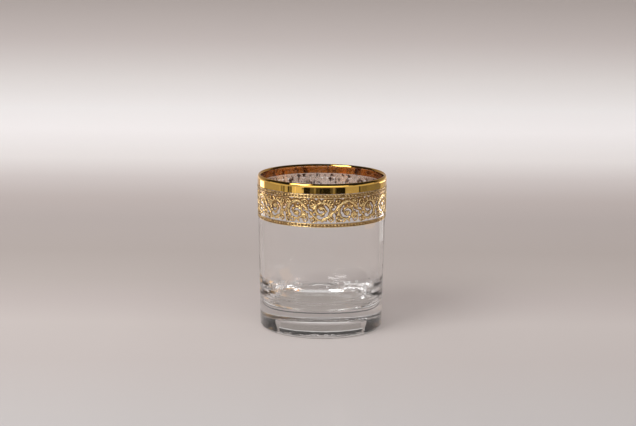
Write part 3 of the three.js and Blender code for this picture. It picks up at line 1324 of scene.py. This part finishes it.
    def dots(self, taken: np.ndarray) -> Surface:
        """Small dots on a hexagonal grid, wherever the ground is bare of relief.

        Args:
            taken: Flat points all over what the dots keep clear of.

        Returns:
            All the dots.
        """
        radius, pitch = self.dot_radius, self.dot_pitch
        rows = np.arange(-self.half_high + radius, self.half_high - radius, pitch * self.dot_row_share)
        u, v = np.meshgrid(np.arange(-self.half_wide, self.half_wide - pitch / 2, pitch), rows)
        u = u + np.where(np.arange(len(rows)) % 2, pitch / 2, 0.0)[:, None]
        places = np.stack([u.ravel(), v.ravel()], axis=-1)
        away = nearest(places, taken)
        free = (away > radius + self.dot_clearance) & (away < self.reach(places[:, 1]))
        return dome(ellipse(radius, radius, full_turn(7)), self.dot_rings).stamped(places[free])

    def strokes(self) -> list[Surface]:
        """The stem, the volute and the corner curls, each swelling from a fine end.

        The stem's width is a low power of a sine along it. The volute's width and height rise evenly
        over its first stretch.

        Returns:
            The closed strokes.
        """
        stem, volute = self.stem(), self.volute()
        ease = np.sin(np.pi * np.clip(np.linspace(0, 1, len(stem)), *self.stem_ends)) ** self.stem_ease
        taper = np.minimum(1, np.linspace(*self.volute_taper, len(volute)))
        widths = np.linspace(*self.volute_widths, len(volute))
        made = [
            stroke(stem, 0.5 * self.stem_width * ease, Gold.RELIEF, self.stroke_groove),
            stroke(volute, 0.5 * widths * taper, Gold.RELIEF * taper, self.stroke_groove),
        ]
        for curl in self.curls:
            path = self.curl_path(curl)
            widths = np.linspace(*self.curl_widths, len(path))
            made.append(stroke(path, 0.5 * widths, self.curl_lift * Gold.RELIEF, groove=0.0, columns=7))
        return made

    def leaves(self) -> list[Surface]:
        """All the leaflets along the strokes, and the lobed leaves between the strokes.

        Returns:
            The closed leaves.
        """
        paths = [(self.volute(), self.volute_leaves), (self.stem(), self.stem_leaves)]
        paths += [(self.curl_path(curl), self.curl_leaves) for curl in self.curls]
        made = [leaf for path, rows in paths for row in rows for leaf in self.leaf_row(path, row)]
        for x0, y0, x1, y1 in self.corner_leaves:
            bend = self.corner_bend * np.sign(x1 * y1)
            made.append(self.leaf(self.half * (x0, y0), self.half * (x1, y1), bend, 16, self.lobes, 9))
        return made

    def flat(self) -> Surface:
        """The whole spray before it is laid round the wall.

        Returns:
            The spray, in flat coordinates.
        """
        ends = np.array([self.curl_path(curl)[-1] for curl in self.curls])
        parts = [*self.strokes(), self.rosette(self.volute()[-1]), self.berries(ends), *self.leaves()]
        taken = np.concatenate([part.points[:, :2] for part in parts])
        return Surface.joined([*parts, self.dots(taken), self.ground(taken)])


@dataclass
class Frieze:
    """The field of scroll sprays between the borders, every other one turned upside down."""

    wall: Wall
    count: int = 16
    gap: float = 0.3 * MM

    def build(self, finishes: Finishes) -> list[Object]:
        """Makes one piece for each packed spray, from two flat sprays laid round the wall.

        Args:
            finishes: The materials.

        Returns:
            The sprays.
        """
        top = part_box(Edge.UPPER.value)[0].z - self.gap
        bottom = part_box(Edge.LOWER.value)[1].z + self.gap
        middle = (top + bottom) / 2
        pitch = 2 * math.pi * self.wall.outer(middle) / self.count
        half_wide, half_high = (pitch - self.gap) / 2, (top - bottom) / 2
        flats = {turn: ScrollSpray(half_wide, half_high, self.gap, turn).flat() for turn in (1.0, -1.0)}
        made = []
        for index in range(self.count):
            turn = 1.0 if index % 2 == 0 else -1.0
            angle = 2 * math.pi * index / self.count
            surface = flats[turn].moved(self.wall.wrapped(flats[turn].points, middle, angle, turn))
            name = f"spray_{index + 1:02d}"
            made.append(add_piece(name, surface, finishes.relief_gold, "scroll_" + name))
        return made


# The studio


@dataclass(frozen=True)
class Softbox:
    """A soft lamp that the camera doesn't see.

    Attributes:
        name: The lamp's name.
        place: Where its middle is.
        aim: The point that it faces.
        size: Its width and height.
        radiance: How bright its face is, where 1 is white.
        through_glass: Whether it shows through the glass.
    """

    name: str
    place: Point
    aim: Point
    size: Span
    radiance: float
    through_glass: bool = True

    def build(self) -> Object:
        """Makes the lamp.

        Returns:
            The lamp.
        """
        data = bpy.data.lights.new(self.name, "AREA")
        data.shape = "RECTANGLE"
        data.size, data.size_y = self.size
        data.energy = self.radiance * math.pi * self.size[0] * self.size[1]
        lamp = bpy.data.objects.new(self.name, data)
        lamp.location = self.place
        lamp.rotation_euler = (Vector(self.aim) - Vector(self.place)).to_track_quat("-Z", "Y").to_euler()
        lamp.visible_camera = False
        lamp.visible_transmission = self.through_glass
        bpy.context.scene.collection.objects.link(lamp)
        return lamp


PAPER_WHITE: Colour = (1.0, 0.96, 0.93)


@dataclass(frozen=True)
class Card:
    """A card that only mirrors or only the glass shows: it casts no light or shadow on anything.

    Attributes:
        name: The card's name.
        tone: How bright it is, where 1 is white.
        points: Its surface, rows by columns by coordinates.
        through_glass: Whether it shows through the glass, and not in mirrors.
        colour: Its colour at a tone of 1.
    """

    name: str
    tone: float
    points: np.ndarray
    through_glass: bool = False
    colour: Colour = PAPER_WHITE

    @classmethod
    def on_floor(cls, lift: float, name: str, tone: float, azimuths: Span, reach: Span) -> Card:
        """A card on the floor, as a stretch of a ring round the glass.

        Args:
            lift: How far it lies above the floor. A higher card hides a lower one.
            name: The card's name.
            tone: How bright it is.
            azimuths: Where it starts and ends, in degrees from -Y towards +X.
            reach: Its inner and its outer radius.

        Returns:
            The card.
        """
        angle = np.radians(np.linspace(*azimuths, 16))[:, None]
        return cls(name, tone, round_axis(np.array(reach), angle, lift))

    @classmethod
    def under_foot(cls, name: str, tone: float, colour: Colour, radius: float, level: float) -> Card:
        """A round card between the floor and the foot: the light that the glass gathers there."""
        angle = np.radians(np.linspace(0, 360, 65))[:, None]
        return cls(name, tone, round_axis(radius * np.array([0.01, 1.0]), angle, level), True, colour)

    @classmethod
    def flat(cls, name: str, tone: float, corner: Point, side: Point, other_side: Point,
             through_glass: bool, colour: Colour = PAPER_WHITE) -> Card:
        """A card from one corner along two sides.

        Args:
            name: The card's name.
            tone: How bright it is.
            corner: The corner.
            side: One side, from the corner.
            other_side: The other side, from the corner.
            through_glass: Whether the glass shows it, and not mirrors.
            colour: Its colour at a tone of 1.

        Returns:
            The card.
        """
        share = np.array([0.0, 1.0])[:, None]
        points = np.array(corner) + share[:, None] * np.array(side) + share[None] * np.array(other_side)
        return cls(name, tone, points, through_glass, colour)

    def build(self) -> Object:
        """Makes the card and hides it from every other kind of ray.

        Returns:
            The card.
        """
        card = add_stage(self.name, self.points, Graph(self.name).finish({
            "Base Color": (0.0, 0.0, 0.0, 1.0),
            "Specular IOR Level": 0.0,
            "Emission Color": (*self.colour, 1.0),
            "Emission Strength": self.tone,
        }))
        card.visible_camera = False
        card.visible_diffuse = False
        card.visible_shadow = False
        card.visible_volume_scatter = False
        card.visible_transmission = self.through_glass
        card.visible_glossy = not self.through_glass
        return card


@dataclass
class Studio:
    """A pale paper floor that sweeps up behind the glass, soft lamps, dark flags and a dim room.

    Each paper stop is a place, as the sum of the distance back and the height, a tone with painted
    light and shade in it, and the share of that tone by which the paper also glows.
    """

    sweep_start: float = 0.45
    sweep_radius: float = 0.6
    floor_level: float = -0.1 * MM
    floor_reach: float = 4.0
    # Painted light and shade: the paper's tone and glow by place along the sweep.
    paper_light_stops: tuple[tuple[float, Colour, float], ...] = (
        (-0.200, (0.545, 0.520, 0.515), 0.10),
        (-0.080, (0.544, 0.497, 0.482), 0.15),
        (0.000, (0.562, 0.512, 0.494), 0.20),
        (0.055, (0.526, 0.472, 0.456), 0.20),
        (0.110, (0.498, 0.448, 0.426), 0.20),
        (0.200, (0.478, 0.427, 0.405), 0.20),
        (0.320, (0.512, 0.459, 0.442), 0.20),
        (0.410, (0.577, 0.518, 0.500), 0.20),
        (0.510, (0.663, 0.613, 0.601), 0.25),
        (0.580, (0.736, 0.704, 0.695), 0.35),
        (0.670, (0.766, 0.741, 0.743), 0.42),
        (0.730, (0.737, 0.717, 0.716), 0.40),
        (0.810, (0.680, 0.650, 0.638), 0.30),
        (0.910, (0.587, 0.535, 0.520), 0.15),
        (1.000, (0.515, 0.464, 0.445), 0.05),
        (1.100, (0.480, 0.430, 0.410), 0.00),
        (1.250, (0.440, 0.395, 0.375), 0.00),
        (1.600, (0.400, 0.360, 0.340), 0.00),
    )
    roughness: float = 0.9
    gloss: float = 0.12
    gloss_roughness: float = 0.08
    gloss_reach: Span = (0.08, 0.12)
    room: Colour = (0.62, 0.60, 0.59)
    card_lift: float = 1.0 * MM
    card_step: float = 0.05 * MM
    strip_half: float = 0.06
    strip_back: float = 0.048
    amber: Colour = (1.0, 0.58, 0.24)
    pale: Colour = (1.0, 0.885, 0.82)

    def paper(self) -> Material:
        """The paper: its tone, painted with light and shade, runs from front to back by the sum of the
        distance back and the height.

        Returns:
            The paper's material, glossy near the middle and glowing only where it is seen.
        """
        graph = Graph("studio_paper")
        axes = graph.add("ShaderNodeSeparateXYZ", {0: graph.place()}).outputs
        low, high = self.paper_light_stops[0][0], self.paper_light_stops[-1][0]
        run = graph.spread(graph.combine("ADD", axes["Y"], axes["Z"]), (0.0, 1.0), (low, high))
        stops = [((place - low) / (high - low), tone, glow) for place, tone, glow in self.paper_light_stops]
        tone = graph.ramp(run, [stop[:2] for stop in stops])
        glow = graph.grey_ramp(run, *(stop[::2] for stop in stops))
        rays = graph.add("ShaderNodeLightPath").outputs
        seen = rays["Is Camera Ray"]
        for ray in ("Is Glossy Ray", "Is Transmission Ray"):
            seen = graph.combine("MAXIMUM", seen, rays[ray])
        aside = graph.combine("ABSOLUTE", axes["X"])
        return graph.finish({
            "Base Color": tone,
            "Emission Color": tone,
            "Emission Strength": graph.combine("MULTIPLY", seen, glow),
            "Roughness": self.roughness,
            "Specular IOR Level": 0.0,
            "Coat Weight": graph.spread(aside, (self.gloss, 0.0), self.gloss_reach),
            "Coat Roughness": self.gloss_roughness,
        })

    def sweep(self) -> Object:
        """The paper's surface: flat floor, a quarter circle up and a straight rise, carried along X.

        Returns:
            The sweep.
        """
        reach = self.floor_reach
        angle = np.radians(np.linspace(0, 90, 40))
        back = self.sweep_start + self.sweep_radius * np.sin(angle)
        rise = self.sweep_radius * (1 - np.cos(angle))
        y = np.concatenate([[-reach], back, [back[-1]]])[:, None]
        z = np.concatenate([[0.0], rise, [reach]])[:, None] + self.floor_level
        points = np.stack(np.broadcast_arrays(np.array([reach, -reach]), y, z), axis=-1)
        return add_stage("studio_sweep", points, self.paper())

    def lamps(self) -> list[Softbox]:
        """The softboxes: a key from the front left and a wide one above the camera."""
        foot = (0.0, 0.0, 0.04)
        return [
            Softbox("key_softbox", (-0.56, -0.54, 0.78), foot, (0.55, 0.55), 5.5),
            Softbox("front_softbox", (0.10, -1.25, 0.62), foot, (2.4, 0.42), 1.5, False),
        ]

    def floor_cards(self) -> list[Card]:
        """Painted reflections: bright and dark stretches on the table that only the gold mirrors, in a pile.

        Each row is a name, a tone, the two azimuths in degrees, and the inner and outer radius.

        Returns:
            The cards.
        """
        band, bar = (0.425, 0.60), (0.41, 0.63)
        rows = [
            ("left_glint", 4.4, (-139, -121), (0.33, 0.46)),
            ("left_band_glint", 3.5, (-139, -122), (0.46, 0.60)),
            ("left_floor", 0.40, (-118, -78), band),
            ("left_edge", 0.52, (-78, -75), band),
            ("left_line", 0.20, (-75, -72.5), band),
            ("left_gap", 0.37, (-72.5, -70.5), band),
            ("second_line", 0.19, (-70.5, -66.5), band),
            ("left_pane", 0.50, (-66.5, -60.5), band),
            ("third_line", 0.03, (-60.5, -58), band),
            ("left_shade", 0.22, (-58, -54.5), band),
            ("fourth_line", 0.06, (-54.5, -52.6), band),
            ("left_front_floor", 0.76, (-52.6, -31), band),
            ("front_streak", 1.0, (-47, -45), band),
            ("dark_front_end", 0.05, (-34.5, -31), (0.437, 0.462)),
            ("dark_front", 0.015, (-31, 40), (0.40, 0.64)),
            ("bar_grey_left", 0.11, (-20, -9), bar),
            ("bar_streak_left", 0.26, (-13.5, -10.5), bar),
            ("bar_grey_middle", 0.07, (-8, -3.5), bar),
            ("bar_line_middle", 0.06, (0, 1.5), bar),
            ("bar_grey_right", 0.10, (14, 24), bar),
            ("bar_streak_right", 0.27, (18.2, 22), bar),
            ("right_front_floor", 0.42, (40, 66), band),
            ("right_line", 0.04, (66, 69), band),
            ("right_pane", 0.22, (69, 73), band),
            ("right_shade", 0.18, (73, 84), band),
            ("right_floor", 0.22, (84, 124), band),
            ("right_band_glint", 4.5, (120, 148), (0.50, 0.60)),
            ("right_band_shade", 0.50, (127, 148), (0.44, 0.50)),
            ("right_glint", 6.0, (122, 146), (0.33, 0.43)),
            ("right_glint_end", 1.0, (124, 144), (0.24, 0.33)),
        ]
        lifts = self.card_lift + self.card_step * np.arange(len(rows))
        return [Card.on_floor(lift, *row) for lift, row in zip(lifts, rows)]

    def upright_cards(self) -> list[Card]:
        """Painted reflections: the flags and glints that the glass shows, and the dark room that the gold
        mirrors.

        Each row is a name, a tone, a corner, two sides, whether the glass shows it, and its colour.

        Returns:
            The cards.
        """
        amber, pale = self.amber, self.pale
        across, deep, high = (0.28, 0.0, 0.0), (0.0, 0.245, 0.0), (0.0, 0.0, 0.3)
        rows = [
            ("left_flag", 0.0, (-0.16, 0.02, 0.03), deep, high, True),
            ("right_flag", 0.0, (0.16, 0.02, 0.03), deep, high, True),
            ("back_shade", 0.27, (-0.14, 0.30, 0.06), across, (0.0, -0.18, 0.34), True, pale),
            ("foot_bright", 0.55, (-0.14, 0.26, 0.108), across, (0.0, 0.0, 0.008), True),
            ("foot_dark", 0.04, (-0.14, 0.26, 0.116), across, (0.0, 0.0, 0.03), True),
            ("amber_glint", 1.6, (0.155, -0.03, 0.03), (0.0, 0.08, 0.0), (0.0, 0.0, 0.16), True, amber),
            ("amber_shade", 0.2, (0.155, 0.05, 0.10), (0.0, 0.15, 0.0), (0.0, 0.0, 0.23), True, amber),
            ("dark_ceiling", 0.02, (-2.5, -2.0, 1.15), (5.0, 0.0, 0.0), (0.0, 3.0, 0.0), False),
            ("dark_header", 0.02, (-2.0, -1.1, 0.58), (4.0, 0.0, 0.0), (0.0, 0.0, 0.57), False),
            ("dark_left", 0.02, (-1.6, -1.1, 0.42), (0.0, 2.1, 0.0), (0.0, 0.0, 0.73), False),
            ("dark_right", 0.02, (1.6, -1.1, 0.42), (0.0, 2.1, 0.0), (0.0, 0.0, 0.73), False),
            ("bright_front", 0.75, (-1.0, -1.4, 0.002), (2.0, 0.0, 0.0), (0.0, 0.0, 0.55), False),
        ]
        return [Card.flat(*row) for row in rows]

    def base_cards(self) -> list[Card]:
        """The thin strips behind the foot, painted reflections, and the round card under it, painted light,
        which the thick base shows.

        Each strip is a tone and the heights of its two long edges, in millimetres.

        Returns:
            The cards.
        """
        strips = [(0.10, 0.4, 1.1), (0.15, 2.2, 2.7), (0.80, 2.7, 3.4), (0.15, 4.0, 4.4), (0.20, 6.0, 6.3)]
        cards = [Card.under_foot("foot_light", 0.35, self.pale, 35 * MM, self.floor_level / 2)]
        across = (2 * self.strip_half, 0.0, 0.0)
        for index, (tone, low, high) in enumerate(strips):
            corner, rise = (-self.strip_half, self.strip_back, low * MM), (0.0, 0.0, (high - low) * MM)
            cards.append(Card.flat(f"low_strip_{index}", tone, corner, across, rise, True))
        return cards

    def build(self) -> None:
        """Makes the paper, the lamps, the cards and the dim room round them."""
        self.sweep()
        for thing in (*self.lamps(), *self.floor_cards(), *self.upright_cards(), *self.base_cards()):
            thing.build()
        world = bpy.data.worlds.new("room")
        world.use_nodes = True
        world.node_tree.nodes["Background"].inputs["Color"].default_value = (*self.room, 1.0)
        bpy.context.scene.world = world


@dataclass(frozen=True)
class ViewCamera:
    """The camera at the photograph's viewing angle, in degrees and metres, its lens in millimetres."""

    place: Point = (0.0, -0.8425, 0.2272)
    pitch: float = 10.79
    yaw: float = -0.151
    roll: float = 0.449
    lens: float = 82.58
    sensor: float = 36.0
    clip: Span = (0.01, 20.0)

    def build(self) -> Object:
        """Makes the camera: it faces +Y, tilted down by the pitch, then turned by the yaw and the roll.

        Returns:
            The camera.
        """
        pitch, yaw, roll = (math.radians(x) for x in (self.pitch, self.yaw, self.roll))
        right = Vector((math.cos(yaw), -math.sin(yaw), 0))
        up = Vector((math.sin(yaw) * math.sin(pitch), math.cos(yaw) * math.sin(pitch), math.cos(pitch)))
        right, up = right * math.cos(roll) + up * math.sin(roll), up * math.cos(roll) - right * math.sin(roll)
        turn = Matrix((right, up, right.cross(up))).transposed().to_4x4()
        data = bpy.data.cameras.new("view_camera")
        data.lens, data.sensor_width, data.sensor_fit = self.lens, self.sensor, "HORIZONTAL"
        data.clip_start, data.clip_end = self.clip
        camera = bpy.data.objects.new("view_camera", data)
        camera.matrix_world = Matrix.Translation(self.place) @ turn
        bpy.context.scene.collection.objects.link(camera)
        bpy.context.scene.camera = camera
        return camera


def set_light_paths() -> None:
    """Lets light pass through the glass and between the gold often enough."""
    scene = bpy.context.scene
    scene.view_settings.view_transform = "Standard"
    scene.cycles.max_bounces = 24
    scene.cycles.transmission_bounces = 20
    scene.cycles.glossy_bounces = 10


def main() -> None:
    """Builds the camera, the tumbler's pieces and the studio in order."""
    logging.basicConfig(level=logging.INFO, format="%(name)s: %(message)s")
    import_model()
    ViewCamera().build()
    set_light_paths()
    finishes = Finishes.made()
    wall = Wall.from_frame()
    GlassBody(wall).build(finishes)
    RimBand(wall).build(finishes)
    for edge in Edge:
        Border(wall, edge).build(finishes)
    Frieze(wall).build(finishes)
    Studio().build()


if __name__ == "__main__":
    main()
